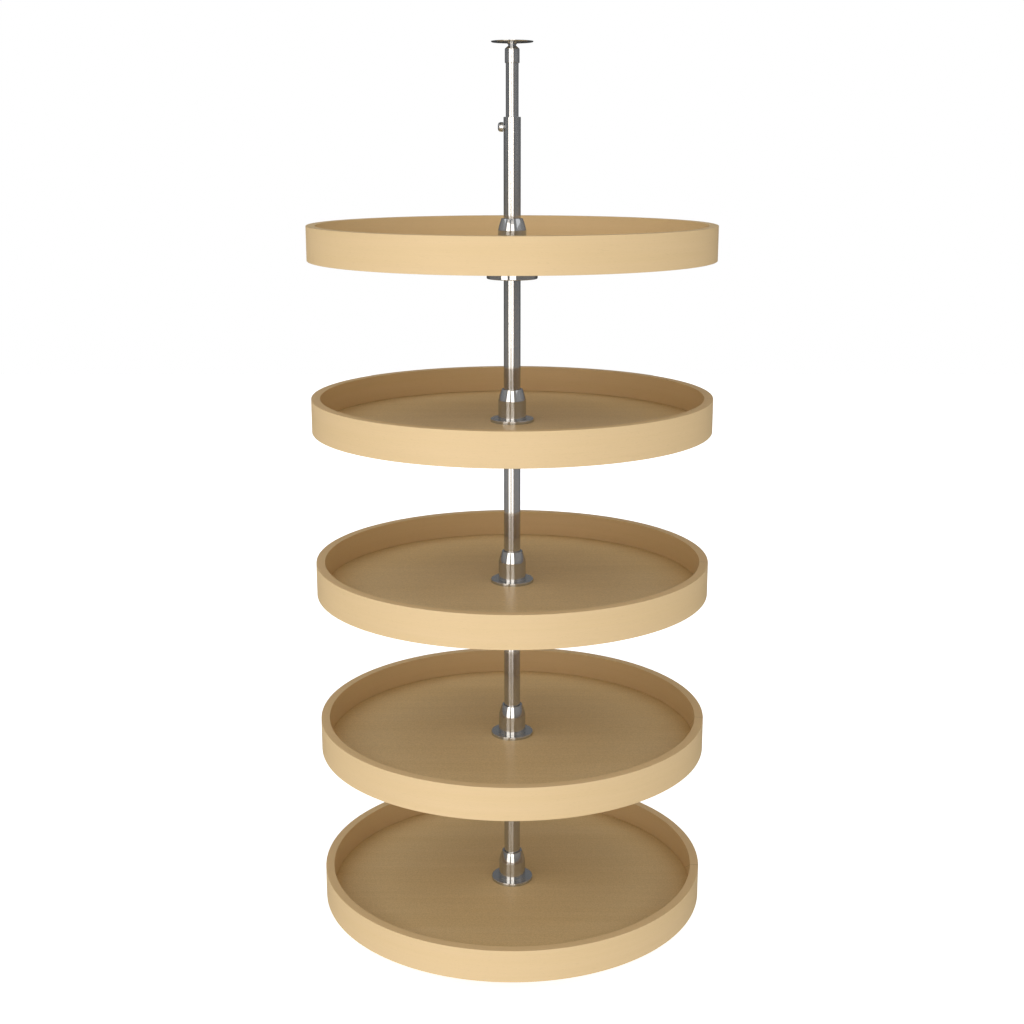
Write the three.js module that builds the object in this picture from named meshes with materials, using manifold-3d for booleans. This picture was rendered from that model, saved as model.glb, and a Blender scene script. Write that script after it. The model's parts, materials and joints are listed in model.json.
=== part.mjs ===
// Five round wooden trays that turn on a telescoping pole, for a tall pantry cabinet.
// Millimetres, +Z up. The origin is the centre of the floor plate's underside.
// The front is -Y, and the lock screw is on -X.
import * as THREE from 'three';
import { mergeVertices } from 'three/addons/utils/BufferGeometryUtils.js';
import Module from 'manifold-3d';

const wasm = await Module();
wasm.setup();

// ---- Driving dimensions ---------------------------------------------------------------

// Trays, counted from the top
const trayCount = 5;
const trayDiameter = 609.6;
const traySpacing = 255.6; // from one rim to the next
const lowestCollarGap = 7.5; // from the floor socket up to the lowest tray's collar
const bandHeight = 50.8;
const bandWall = 13.6;
const rebateDepth = 6.0; // how far the panel reaches into the band
const panelThickness = 9.5;

// Hub cap that stands on each tray's panel
const capHeight = 49.8;
const capWall = 4.8;
const capNoseHeight = 17.2; // the ogive from the cylinder up to the mouth
const capNoseLean = 11.5; // degrees that the nose leans in where it leaves the cylinder
const capMouthLand = 1.4; // flat ring between the bore and the rounded edge
const capMouthRound = 1.4;
const capFlangeDiameter = 66.6;
const capFlangeThickness = 4.6;
const capFlangeRound = 0.9;
const capLipDepth = 3.6; // inward lip that closes the cap round the pole
const bushWall = 3.0;

// Turntable under each panel
const hubFlangeDiameter = 71.6;
const hubFlangeThickness = 3.4;
const ballDiameter = 6.0;
const ballCount = 6;
const cageWidth = 8.4;
const cageThickness = 2.4;
const raceDepth = 1.0;
const raceHalfWidth = 3.3; // of the groove's mouth
const collarDiameter = 76.6;
const collarHeight = 19.8; // from the race down to the collar's lower edge
const collarSkirtWall = 2.4;
const collarWebThickness = 4.4;
const collarBossWall = 7.4;
const setScrewDiameter = 6.0;
const setScrewInset = 1.2; // below the boss's surface
const setScrewHeight = 6.4; // above the collar's lower edge

// Pole
const poleDiameter = 25.4;
const poleWall = 1.6;
const poleAboveTopRim = 154.4; // from the top tray's rim to the outer tube's mouth
const guideBushWall = 1.25;
const innerTubeWall = 1.2;
const innerTubeShown = 75.7; // between the outer tube's mouth and the ferrule
const innerTubeInserted = 240;
const glideLength = 16;
const footPlugLength = 14;

// Lock screw
const lockDrop = 14.2; // its axis below the outer tube's mouth
const lockHeadDiameter = 13.8;
const lockHeadLength = 8.0;
const lockHeadRound = 4.3;
const lockShankDiameter = 6.0;
const lockInsertWall = 1.7;

// Ferrule, pivot and ceiling plate
const ferruleWall = 1.05;
const ferruleLength = 19.7;
const noseHeight = 4.2;
const waistWall = 2.2;
const pivotDiameter = 6.8;
const pivotHeadHeight = 2.6;
const pivotWasherThickness = 0.6;
const ceilingBossHeight = 3.6;
const ceilingBossDiameter = 17.4;
const ceilingPlateDiameter = 61.6;
const ceilingPlateThickness = 1.6;
const ceilingHoleDiameter = 4.4;
const ceilingBoreRoof = 0.4; // metal above the pivot's blind bore, below the plate's own

// Floor plate
const floorPlateDiameter = 76.2;
const floorPlateThickness = 2.6;
const socketWall = 3.4;
const socketHeight = 13;
const floorHoleDiameter = 5.0;
const plateHoleCount = 3;

// Clearances
const seatGap = 0.3; // between pieces that rest on or in one another
const slideGap = 0.15; // each side, between pieces that slide
const runningGap = 0.1; // each side, between pieces that turn
const ballGap = 0.4; // under each ball, and over it
const cageGap = 2.0; // between the cage and the collar's guard wall
const guardGap = 0.6; // between the guard wall and the flange that turns over it

// Facets round a full turn
const traySides = 44;
const hubSides = 20;
const innerSides = 16; // turned pieces out of sight
const screwSides = 12;
const holeSides = 8;

// ---- Values that follow ---------------------------------------------------------------

// Heights in the hub, from the panel's underside
const capBase = panelThickness + seatGap;
const capTop = capBase + capHeight;
const hubFlangeTop = -seatGap;
const hubFlangeBase = hubFlangeTop - hubFlangeThickness;
const ballCentre = hubFlangeBase - ballGap - ballDiameter / 2;
const raceFace = ballCentre - ballDiameter / 2 - ballGap + raceDepth;
const collarBase = raceFace - collarHeight;

// Radii
const trayRadius = trayDiameter / 2;
const bandInnerRadius = trayRadius - bandWall;
const poleRadius = poleDiameter / 2;
const poleBoreRadius = poleRadius - poleWall;
const innerTubeRadius = poleBoreRadius - seatGap - guideBushWall - slideGap;
const bushBoreRadius = clearOf(poleRadius, runningGap, innerSides);
const bushRadius = bushBoreRadius + bushWall;
const hubBoreRadius = bushRadius + seatGap;
const collarBoreRadius = poleRadius + slideGap;
const collarSkirtRadius = collarDiameter / 2 - collarSkirtWall;
const ballCircleRadius = collarSkirtRadius - cageGap - cageWidth / 2;
const lockBoreRadius = clearOf(lockShankDiameter / 2, runningGap, holeSides);
const lockInsertRadius = lockBoreRadius + lockInsertWall;
const pivotBoreRadius = clearOf(pivotDiameter / 2, runningGap, innerSides);
const waistRadius = pivotBoreRadius + waistWall;

// Heights from the cabinet floor
const socketTop = floorPlateThickness + socketHeight;
const lowestTrayHeight = socketTop + lowestCollarGap - collarBase;
const topRimHeight = lowestTrayHeight + (trayCount - 1) * traySpacing + bandHeight;
const poleMouth = topRimHeight + poleAboveTopRim;
const poleFoot = floorPlateThickness + seatGap;
const lockHeight = poleMouth - lockDrop;

const ferruleBase = poleMouth + innerTubeShown;
const ferruleShoulder = ferruleBase + ferruleLength;
const ferruleRadius = innerTubeRadius + seatGap + ferruleWall;
const noseTip = ferruleShoulder + noseHeight;
const ceilingBossBase = noseTip + seatGap + pivotWasherThickness + seatGap;
const ceilingPlateBase = ceilingBossBase + ceilingBossHeight;

// ---- Tools for making solids ----------------------------------------------------------

// Radius of a faceted bore whose flats stay a gap clear of a round pin turning in it
function clearOf(pinRadius, gap, sides) {
  return (pinRadius + gap) / Math.cos(Math.PI / sides);
}

// A solid turned about +Z from an outline of [radius, height] points, listed anticlockwise
function turned(outline, sides) {
  const points = outline.map(([radius, height]) => new THREE.Vector2(radius, height));
  if (outline[0][0] > 0) points.push(points[0].clone());
  return new THREE.LatheGeometry(points, sides).rotateX(Math.PI / 2);
}

// A plain ring between two radii and two heights
function ring(innerRadius, outerRadius, base, top, sides) {
  return turned([[innerRadius, base], [outerRadius, base], [outerRadius, top], [innerRadius, top]], sides);
}

// Points on an arc in the outline's plane, angles in degrees from the +radius direction
function arc(centreRadius, centreHeight, radius, fromDegrees, toDegrees, steps) {
  const points = [];
  for (let step = 0; step <= steps; step += 1) {
    const angle = THREE.MathUtils.degToRad(fromDegrees + ((toDegrees - fromDegrees) * step) / steps);
    points.push([centreRadius + radius * Math.cos(angle), centreHeight + radius * Math.sin(angle)]);
  }
  return points;
}

// A round rod along +Z, for drilling or joining
function rod(radius, base, top, sides) {
  return new THREE.CylinderGeometry(radius, radius, top - base, sides)
    .rotateX(Math.PI / 2)
    .translate(0, 0, (base + top) / 2);
}

function toManifold(geometry) {
  const bare = geometry.clone();
  bare.deleteAttribute('normal');
  bare.deleteAttribute('uv');
  const welded = mergeVertices(bare, 1e-4);
  return new wasm.Manifold(new wasm.Mesh({
    numProp: 3,
    vertProperties: new Float32Array(welded.attributes.position.array),
    triVerts: new Uint32Array(welded.index.array),
  }));
}

function toGeometry(manifold) {
  const mesh = manifold.getMesh();
  const geometry = new THREE.BufferGeometry();
  geometry.setAttribute('position', new THREE.BufferAttribute(mesh.vertProperties, 3));
  geometry.setIndex(new THREE.BufferAttribute(mesh.triVerts, 1));
  return geometry;
}

function drilled(geometry, drills) {
  let solid = toManifold(geometry);
  for (const drill of drills) solid = solid.subtract(toManifold(drill));
  return toGeometry(solid);
}

function joined(geometry, additions) {
  let solid = toManifold(geometry);
  for (const addition of additions) solid = solid.add(toManifold(addition));
  return toGeometry(solid);
}

// Copies of a geometry, evenly spaced round +Z, the first one at +Y
function roundTheAxis(geometry, radius, count) {
  const copies = [];
  for (let index = 0; index < count; index += 1) {
    copies.push(geometry.clone().translate(0, radius, 0).rotateZ((2 * Math.PI * index) / count));
  }
  return copies;
}

// ---- Finishes -------------------------------------------------------------------------

function finish(color, roughness, metalness) {
  return new THREE.MeshStandardMaterial({ color, roughness, metalness });
}

const maple = finish('#eccb9b', 0.45, 0);
const maplePanel = finish('#caa775', 0.5, 0);
const chrome = finish('#cfd2d6', 0.08, 1);
const nylon = finish('#e8e4d8', 0.55, 0);
const zincSteel = finish('#b7bbc0', 0.35, 1);
const ballSteel = finish('#9fa3a8', 0.2, 1);
const blackSteel = finish('#2b2c2e', 0.5, 1);

function piece(name, geometry, material) {
  const mesh = new THREE.Mesh(geometry, material);
  mesh.name = name;
  return mesh;
}

// ---- Tray -----------------------------------------------------------------------------

// Steamed maple strip bent into a hoop, with a rebate at its foot for the panel
function band() {
  const rebateRadius = bandInnerRadius + rebateDepth;
  const rebateTop = panelThickness + seatGap;
  return turned([
    [rebateRadius, 0],
    [trayRadius, 0],
    [trayRadius, bandHeight],
    [bandInnerRadius, bandHeight],
    [bandInnerRadius, rebateTop],
    [rebateRadius, rebateTop],
  ], traySides);
}

// Round panel with a hole for the hub's bush
function panel() {
  const outline = new THREE.Shape();
  outline.absarc(0, 0, bandInnerRadius + rebateDepth - seatGap, 0, 2 * Math.PI, false);
  const hole = new THREE.Path();
  hole.absarc(0, 0, hubBoreRadius, 0, 2 * Math.PI, true);
  const shape = new THREE.Shape(outline.getPoints(traySides / 2));
  shape.holes.push(new THREE.Path(hole.getPoints(innerSides / 2)));
  return new THREE.ExtrudeGeometry(shape, { depth: panelThickness, bevelEnabled: false });
}

// Spun cap: a flange, a cylinder and an ogive nose that leans in from it more and more
function hubCap() {
  const capRadius = hubBoreRadius + capWall;
  const flangeRadius = capFlangeDiameter / 2;
  const flangeTop = capBase + capFlangeThickness;
  const mouthRadius = bushBoreRadius + capMouthLand + capMouthRound;
  const noseBase = capTop - capNoseHeight;
  const meanLean = Math.atan((capRadius - mouthRadius) / capNoseHeight);
  const footLean = THREE.MathUtils.degToRad(capNoseLean);
  const mouthLean = 2 * meanLean - footLean;
  const noseArcRadius = capNoseHeight / (Math.sin(mouthLean) - Math.sin(footLean));
  const nose = arc(
    capRadius - noseArcRadius * Math.cos(footLean),
    noseBase - noseArcRadius * Math.sin(footLean),
    noseArcRadius,
    capNoseLean,
    THREE.MathUtils.radToDeg(mouthLean),
    3,
  );
  const mouthEdge = nose.pop();
  return turned([
    [hubBoreRadius, capBase],
    [flangeRadius, capBase],
    [flangeRadius, flangeTop - capFlangeRound],
    [flangeRadius - capFlangeRound, flangeTop],
    [capRadius, flangeTop],
    ...nose,
    [mouthEdge[0], mouthEdge[1] - capMouthRound],
    [mouthEdge[0] - capMouthRound, capTop],
    [bushBoreRadius, capTop],
    [bushBoreRadius, capTop - capLipDepth],
    [hubBoreRadius, capTop - capLipDepth],
  ], hubSides);
}

// Nylon sleeve that turns on the pole and lines both the cap and the flange
function hubBush() {
  return ring(bushBoreRadius, bushRadius, hubFlangeBase, capTop - capLipDepth - seatGap, innerSides);
}

// Steel plate screwed up through the panel, whose flat underside runs on the balls
function hubFlange() {
  return ring(hubBoreRadius, hubFlangeDiameter / 2, hubFlangeBase, hubFlangeTop, innerSides);
}

// Balls held by their cage
function ballCage() {
  const ball = new THREE.SphereGeometry(ballDiameter / 2, 6, 4)
    .rotateX(Math.PI / 2)
    .translate(0, 0, ballCentre);
  const halfWidth = cageWidth / 2;
  const halfThickness = cageThickness / 2;
  const cage = ring(
    ballCircleRadius - halfWidth,
    ballCircleRadius + halfWidth,
    ballCentre - halfThickness,
    ballCentre + halfThickness,
    2 * ballCount,
  );
  return joined(cage, roundTheAxis(ball, ballCircleRadius, ballCount));
}

// Cup that carries the balls: lower race, guard wall, hollow underside and a drilled boss
function lockCollar() {
  const outerRadius = collarDiameter / 2;
  const bossRadius = collarBoreRadius + collarBossWall;
  const webBase = raceFace - collarWebThickness;
  const guardTop = hubFlangeBase - guardGap;
  const cup = turned([
    [collarBoreRadius, collarBase],
    [bossRadius, collarBase],
    [bossRadius, webBase],
    [collarSkirtRadius, webBase],
    [collarSkirtRadius, collarBase],
    [outerRadius, collarBase],
    [outerRadius, guardTop],
    [collarSkirtRadius, guardTop],
    [collarSkirtRadius, raceFace],
    [ballCircleRadius + raceHalfWidth, raceFace],
    [ballCircleRadius, raceFace - raceDepth],
    [ballCircleRadius - raceHalfWidth, raceFace],
    [collarBoreRadius, raceFace],
  ], hubSides);
  const drill = rod(setScrewDiameter / 2 + seatGap, poleRadius, collarDiameter, holeSides)
    .rotateX(-Math.PI / 2)
    .translate(0, 0, collarBase + setScrewHeight);
  return drilled(cup, [drill]);
}

// Headless screw with a hexagon socket, behind the pole
function setScrew() {
  const radius = setScrewDiameter / 2;
  const tip = poleRadius + seatGap;
  const end = collarBoreRadius + collarBossWall - setScrewInset;
  const socketDepth = (end - tip) / 2;
  const body = rod(radius, tip, end, holeSides);
  const socket = rod(radius / 2, end - socketDepth, end + radius, 6);
  return drilled(body, [socket]).rotateX(-Math.PI / 2).translate(0, 0, collarBase + setScrewHeight);
}

function tray(number) {
  const group = new THREE.Group();
  const label = `tray_${number}`;
  group.add(
    piece(`${label}_band`, band(), maple),
    piece(`${label}_panel`, panel(), maplePanel),
    piece(`${label}_hub_cap`, hubCap(), chrome),
    piece(`${label}_hub_bush`, hubBush(), nylon),
    piece(`${label}_hub_flange`, hubFlange(), zincSteel),
    piece(`${label}_ball_cage`, ballCage(), ballSteel),
    piece(`${label}_lock_collar`, lockCollar(), chrome),
    piece(`${label}_set_screw`, setScrew(), blackSteel),
  );
  group.position.z = lowestTrayHeight + (trayCount - number) * traySpacing;
  return group;
}

// ---- Pole -----------------------------------------------------------------------------

// Disc screwed to the cabinet floor, with the socket that the outer tube stands in
function floorPlate() {
  const socketBore = poleRadius + seatGap;
  const plate = turned([
    [0, 0],
    [floorPlateDiameter / 2, 0],
    [floorPlateDiameter / 2, floorPlateThickness],
    [socketBore + socketWall, floorPlateThickness],
    [socketBore + socketWall, socketTop],
    [socketBore, socketTop],
    [socketBore, floorPlateThickness],
    [0, floorPlateThickness],
  ], hubSides);
  const hole = rod(floorHoleDiameter / 2, -floorPlateThickness, 2 * floorPlateThickness, holeSides);
  const holeCircleRadius = (socketBore + socketWall + floorPlateDiameter / 2) / 2;
  return drilled(plate, roundTheAxis(hole, holeCircleRadius, plateHoleCount));
}

// Chromed steel tube with a cross hole for the lock screw's insert
function outerTube() {
  const tube = ring(poleBoreRadius, poleRadius, poleFoot, poleMouth, hubSides);
  const drill = rod(lockInsertRadius + seatGap, 0, poleDiameter, holeSides)
    .rotateY(-Math.PI / 2)
    .translate(0, 0, lockHeight);
  return drilled(tube, [drill]);
}

function footPlug() {
  const radius = poleBoreRadius - seatGap;
  return rod(radius, poleFoot, poleFoot + footPlugLength, innerSides);
}

// Nylon sleeve in the mouth of the outer tube that the inner tube slides through
function guideBush() {
  const boreRadius = innerTubeRadius + slideGap;
  const base = lockHeight + lockInsertRadius + 2 * seatGap;
  return ring(boreRadius, boreRadius + guideBushWall, base, poleMouth, hubSides);
}

// Tapped sleeve in the tube's wall
function lockInsert() {
  const sleeve = ring(lockBoreRadius, lockInsertRadius, innerTubeRadius + seatGap, poleRadius, holeSides);
  return sleeve.rotateY(-Math.PI / 2).translate(0, 0, lockHeight);
}

// Thumb screw with a rounded head and a flat tip
function lockScrew() {
  const shankRadius = lockShankDiameter / 2;
  const headRadius = lockHeadDiameter / 2;
  const tip = innerTubeRadius + seatGap;
  const headBase = poleRadius + seatGap;
  const headEnd = headBase + lockHeadLength;
  const round = Math.min(lockHeadRound, 0.9 * headRadius, 0.9 * lockHeadLength);
  return turned([
    [0, tip],
    [shankRadius, tip],
    [shankRadius, headBase],
    [headRadius, headBase],
    ...arc(headRadius - round, headEnd - round, round, 0, 90, 3),
    [0, headEnd],
  ], screwSides).rotateY(-Math.PI / 2).translate(0, 0, lockHeight);
}

function innerTube() {
  const top = ferruleShoulder - ferruleWall - seatGap - pivotHeadHeight - seatGap;
  return ring(innerTubeRadius - innerTubeWall, innerTubeRadius, poleMouth - innerTubeInserted, top, hubSides);
}

// Nylon ring on the inner tube's lower end that runs in the outer tube
function glide() {
  const base = poleMouth - innerTubeInserted;
  return ring(innerTubeRadius + slideGap, poleBoreRadius - slideGap, base, base + glideLength, hubSides);
}

// End cap of the inner tube, tapering to the waist
function ferrule() {
  const boreRadius = innerTubeRadius + seatGap;
  const shoulder = ferruleShoulder - ferruleWall;
  return turned([
    [boreRadius, ferruleBase],
    [ferruleRadius, ferruleBase],
    [ferruleRadius, ferruleShoulder],
    [waistRadius, noseTip],
    [pivotBoreRadius, noseTip],
    [pivotBoreRadius, shoulder],
    [boreRadius, shoulder],
  ], hubSides);
}

// Headed pin that the ceiling plate turns on; its head is as wide as the inner tube
function pivotPin() {
  const headTop = ferruleShoulder - ferruleWall - seatGap;
  const pinTop = ceilingPlateBase - ceilingBoreRoof - seatGap;
  return turned([
    [0, headTop - pivotHeadHeight],
    [innerTubeRadius, headTop - pivotHeadHeight],
    [innerTubeRadius, headTop],
    [pivotDiameter / 2, headTop],
    [pivotDiameter / 2, pinTop],
    [0, pinTop],
  ], innerSides);
}

function pivotWasher() {
  const base = noseTip + seatGap;
  return ring(pivotBoreRadius, waistRadius, base, base + pivotWasherThickness, innerSides);
}

// Thin disc with a cone boss below it and a blind bore for the pivot
function ceilingPlate() {
  const boreTop = ceilingPlateBase - ceilingBoreRoof;
  const top = ceilingPlateBase + ceilingPlateThickness;
  const plate = turned([
    [0, boreTop],
    [pivotBoreRadius, boreTop],
    [pivotBoreRadius, ceilingBossBase],
    [waistRadius, ceilingBossBase],
    [ceilingBossDiameter / 2, ceilingPlateBase],
    [ceilingPlateDiameter / 2, ceilingPlateBase],
    [ceilingPlateDiameter / 2, top],
    [0, top],
  ], hubSides);
  const hole = rod(ceilingHoleDiameter / 2, ceilingBossBase, top + ceilingPlateThickness, holeSides);
  const holeCircleRadius = (ceilingBossDiameter + ceilingPlateDiameter) / 4;
  return drilled(plate, roundTheAxis(hole, holeCircleRadius, plateHoleCount));
}

function pole() {
  const group = new THREE.Group();
  group.add(
    piece('floor_plate', floorPlate(), zincSteel),
    piece('foot_plug', footPlug(), nylon),
    piece('outer_tube', outerTube(), chrome),
    piece('guide_bush', guideBush(), nylon),
    piece('lock_insert', lockInsert(), zincSteel),
    piece('lock_screw', lockScrew(), chrome),
    piece('inner_tube', innerTube(), chrome),
    piece('inner_tube_glide', glide(), nylon),
    piece('top_ferrule', ferrule(), chrome),
    piece('pivot_pin', pivotPin(), zincSteel),
    piece('pivot_washer', pivotWasher(), blackSteel),
    piece('ceiling_plate', ceilingPlate(), chrome),
  );
  return group;
}

// ---- The whole set --------------------------------------------------------------------

const pantryTrays = new THREE.Group();
pantryTrays.add(pole());
for (let number = 1; number <= trayCount; number += 1) pantryTrays.add(tray(number));

export default pantryTrays;
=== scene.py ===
# %% [markdown]
# # Five round trays that turn on a pole
#
# This is the inside of a tall pantry cabinet. Five maple trays turn on one chromed pole. The pole stands in
# a socket on the cabinet floor, and a thinner tube slides out of its top to reach the ceiling. The solids
# that carry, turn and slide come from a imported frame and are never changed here. What this file adds is the
# surface that the eye sees: round pieces with fine facets and broken edges, and their finishes.

# %% Load the frame
import json
import math

import bmesh
import bpy
from mathutils import Matrix, Vector


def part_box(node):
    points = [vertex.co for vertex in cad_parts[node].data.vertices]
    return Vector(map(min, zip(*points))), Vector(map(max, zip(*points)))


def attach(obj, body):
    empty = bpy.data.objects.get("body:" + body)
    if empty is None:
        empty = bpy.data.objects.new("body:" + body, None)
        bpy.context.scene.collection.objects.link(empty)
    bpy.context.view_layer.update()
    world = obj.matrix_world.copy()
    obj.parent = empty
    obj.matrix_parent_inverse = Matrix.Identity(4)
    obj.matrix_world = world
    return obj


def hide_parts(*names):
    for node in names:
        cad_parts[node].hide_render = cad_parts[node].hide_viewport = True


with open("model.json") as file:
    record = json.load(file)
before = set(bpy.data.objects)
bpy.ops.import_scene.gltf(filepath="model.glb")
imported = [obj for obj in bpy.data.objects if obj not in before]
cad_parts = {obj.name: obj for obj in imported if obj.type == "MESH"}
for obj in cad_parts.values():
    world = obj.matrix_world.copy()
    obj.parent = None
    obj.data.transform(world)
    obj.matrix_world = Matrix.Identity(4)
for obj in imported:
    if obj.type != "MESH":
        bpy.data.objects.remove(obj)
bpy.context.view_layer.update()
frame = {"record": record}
record = frame["record"]
body_of = {node: body for body, nodes in record["behaviour"]["bodies"].items() for node in nodes}

# %% [markdown]
# ## The camera
#
# The trays' ellipses give the view. Each one is a circle of known size, so how flat and how wide it looks
# says how far away the lens is and how high it stands. The lens is 2.25 m in front of the pole, a little
# above the top tray, and tilted down by 14 degrees. The camera comes first, because everything else is
# judged through it.

# %% Camera
MM = 0.001  # metres in a millimetre

camera_distance = 2.2530
camera_height = 1.2375
camera_tilt = math.radians(13.777)  # below the horizon
focal_length_mm = 52.36
sensor_width_mm = 36
left_shift = 0.00017  # the pole stands this share of the width right of the middle

camera_data = bpy.data.cameras.new("studio_camera")
camera_data.lens = focal_length_mm
camera_data.sensor_width = sensor_width_mm
camera_data.shift_x = -left_shift
camera = bpy.data.objects.new("studio_camera", camera_data)
camera.location = (0, -camera_distance, camera_height)
camera.rotation_euler = (math.pi / 2 - camera_tilt, 0, 0)
bpy.context.scene.collection.objects.link(camera)
bpy.context.scene.camera = camera
bpy.context.scene.view_settings.view_transform = "Standard"  # the colours stay as they were picked
print(f"camera: {camera_distance:.2f} m from the pole, {focal_length_mm:.0f} mm lens")

# %% [markdown]
# ## Colours and nodes
#
# Colours are picked as the eye sees them, in sRGB, and written as hex values. Blender's shaders count light
# instead, so one function turns each value to linear. A second function adds a node: it sets the node's own
# properties and fills its sockets, either with a value or with a link from another node's output.

# %% Colour and node helpers
def paint(hex_code):
    """Linear RGBA of an sRGB hex colour."""
    channels = [int(hex_code[start:start + 2], 16) / 255 for start in (1, 3, 5)]
    linear = [c / 12.92 if c <= 0.04045 else ((c + 0.055) / 1.055) ** 2.4 for c in channels]
    return (*linear, 1)


def add_node(tree, kind, settings=None, inputs=None):
    """Adds a node to a tree. An input is a value, or an output to link from."""
    made = tree.nodes.new(kind)
    for name, value in (settings or {}).items():
        setattr(made, name, value)
    for name, value in (inputs or {}).items():
        if isinstance(value, bpy.types.NodeSocket):
            tree.links.new(value, made.inputs[name])
        else:
            made.inputs[name].default_value = value
    return made


def per_metre(*sizes_mm):
    """The scale that gives a pattern features of these sizes along each axis."""
    return tuple(1 / (size * MM) for size in sizes_mm)


def new_material(name):
    """An empty material, its node tree and its object coordinates, which stay with the piece."""
    material = bpy.data.materials.new(name)
    material.use_nodes = True
    material.node_tree.nodes.clear()
    place = add_node(material.node_tree, "ShaderNodeTexCoord").outputs["Object"]
    return material, material.node_tree, place


def finish_material(material, tree, surface):
    """Links the shader to the material's output and says that it is ready."""
    add_node(tree, "ShaderNodeOutputMaterial", inputs={"Surface": surface.outputs[0]})
    print(f"material: {material.name}, {len(tree.nodes)} nodes")
    return material


print(f"half-way grey holds {paint('#808080')[0]:.2f} of white's light, not 0.50")

# %% [markdown]
# ## The light
#
# Chrome has no colour of its own: it shows the studio. In the photograph every round piece shows the same
# two tall white panels, side by side, with a thin gap between them just left of the middle. Their edges in
# the pole say at which bearing each one starts and ends. They are dimmer near the floor than above it, so
# each one is a foot and a head. Small glints high on the hubs' shoulders come from two more panels, far out
# at the sides and higher up. Area lights make them all. They only show in gloss, because the wood gets its
# even light from the room below.

# %% Soft panels
def soft_panel(name, bearings, heights, distance, radiance, tint="#ffffff"):
    """A light panel that faces the pole, between two bearings in degrees (0 is the front, + is right).

    Heights and distance are in metres, and radiance counts plain white paper as 1.
    """
    middle = math.radians(sum(bearings) / 2)
    half_angle = math.radians(bearings[1] - bearings[0]) / 2
    panel = bpy.data.lights.new(name, "AREA")
    panel.shape = "RECTANGLE"
    panel.size = 2 * distance * math.tan(half_angle)
    panel.size_y = heights[1] - heights[0]
    panel.energy = radiance * math.pi * panel.size * panel.size_y
    panel.color = paint(tint)[:3]
    lamp = bpy.data.objects.new(name, panel)
    outwards = Vector((math.sin(middle), -math.cos(middle), 0))
    lamp.location = outwards * distance + Vector((0, 0, sum(heights) / 2))
    lamp.rotation_euler = (-outwards).to_track_quat("-Z", "Y").to_euler()
    lamp.visible_camera = False
    lamp.visible_diffuse = False
    bpy.context.scene.collection.objects.link(lamp)
    print(f"{name}: {panel.size:.2f} x {panel.size_y:.2f} m, {panel.energy:.0f} W")


warm_white = "#fff4e6"
front_distance = 2.6
side_distance = 6
front_foot, front_seam, front_head = -1.4, 0.6, 2.76  # heights in metres
left_panel = (-49.3, -21.4)  # bearings of its two edges
right_panel = (-10.5, 16.7)
for part, heights, radiance in (
    ("foot", (front_foot, front_seam), 2.4),
    ("head", (front_seam, front_head), 3.7),
):
    soft_panel(f"front_left_{part}", left_panel, heights, front_distance, radiance, warm_white)
    soft_panel(f"front_right_{part}", right_panel, heights, front_distance, radiance, warm_white)
soft_panel("side_right_panel", (43, 92), (4.0, 6.5), side_distance, 1)
soft_panel("side_left_panel", (-100, -70), (4.2, 6.5), side_distance, 0.9)

# %% [markdown]
# The room has three faces, and a Light Path node tells the rays apart. The camera sees plain white paper.
# Chrome sees greys, lighter in front than behind. Wood is lit by a soft fill. The greys and the fill depend
# on where a ray goes, so the first cell measures that: how high it points, and how far to the front or back.

# %% Room, and ramps by direction
world = bpy.data.worlds.new("studio_room")
world.use_nodes = True
bpy.context.scene.world = world
room = world.node_tree
room.nodes.clear()

direction = add_node(room, "ShaderNodeTexCoord").outputs["Generated"]
facing = add_node(room, "ShaderNodeSeparateXYZ", inputs={0: direction}).outputs
height_share = add_node(room, "ShaderNodeMapRange", inputs={"Value": facing["Z"], "From Min": -1}).outputs[0]


def by_height(stops):
    """A ramp of brightness from straight down (share 0) past the horizon (0.5) to straight up (1)."""
    ramp = add_node(room, "ShaderNodeValToRGB", inputs={"Fac": height_share})
    for element, (share, brightness) in zip(ramp.color_ramp.elements, (stops[0], stops[-1])):
        element.position = share
        element.color = (brightness, brightness, brightness, 1)
    for share, brightness in stops[1:-1]:
        ramp.color_ramp.elements.new(share).color = (brightness, brightness, brightness, 1)
    return ramp.outputs[0]


def front_to_back(front, back, from_depth, to_depth):
    """Blends the brightness in front of the pole into the one behind it, between two depths of the view."""
    towards_back = add_node(room, "ShaderNodeMapRange", {"interpolation_type": "SMOOTHSTEP"}, {
        "Value": facing["Y"],
        "From Min": from_depth,
        "From Max": to_depth,
    }).outputs[0]
    blend = add_node(room, "ShaderNodeMix", {"data_type": "RGBA"}, {0: towards_back, 6: front, 7: back})
    return blend.outputs[2]


print(f"room: {len(room.nodes)} nodes measure where a ray goes")

# %% [markdown]
# The greys are read off the chrome. A plain tube shows the room a little below the horizon, where it is
# lightest. The hubs' noses lean in, so they show it higher up. The flat flanges and the steep parts show
# the dark ends of the ramps.

# %% Greys for the chrome
wall_greys = front_to_back(
    by_height([
        (0, 0.09), (0.28, 0.11), (0.36, 0.4), (0.41, 0.4), (0.46, 0.2),
        (0.54, 0.2), (0.59, 0.33), (0.8, 0.33), (0.92, 0.12), (1, 0.11),
    ]),
    by_height([(0, 0.07), (0.4, 0.06), (0.49, 0.06), (0.54, 0.19), (0.65, 0.215), (1, 0.11)]),
    0.3, 0.95,
)
print(f"greys: {len(room.nodes)} nodes so far")

# %% [markdown]
# The fill is read off the wood. The trays shade each other, so each floor and wall only sees part of the
# room, and how dark it is tells how much light comes from there. Most comes from in front, about a third of
# the way up, and some comes back up off the floor. From behind it only comes down steeply. The left is a
# little brighter than the right.

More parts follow.
